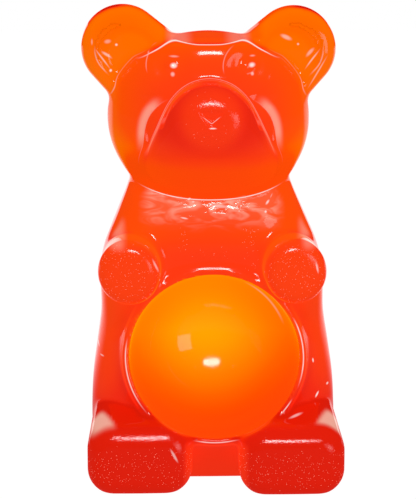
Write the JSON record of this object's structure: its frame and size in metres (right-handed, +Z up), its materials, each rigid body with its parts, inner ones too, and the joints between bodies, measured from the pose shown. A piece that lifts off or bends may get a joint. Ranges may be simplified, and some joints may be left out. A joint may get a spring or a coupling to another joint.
{
  "type": "gummy bear",
  "caption": "Large moulded jelly sweet in the shape of a sitting bear, with a round bowl sunk in its belly and flat-ended paws and feet.",
  "frame": {"origin": "on the base, under the middle of the bounding box", "axes": "+Z up from the base to the ears, -Y the way the face looks, +X towards the bear's left side"},
  "size_m": [0.235, 0.177, 0.4329],
  "materials": {
    "gummy": "glossy translucent orange jelly"
  },
  "bodies": {
    "root": {"gummy_bear": "gummy"}
  },
  "joints": []
}
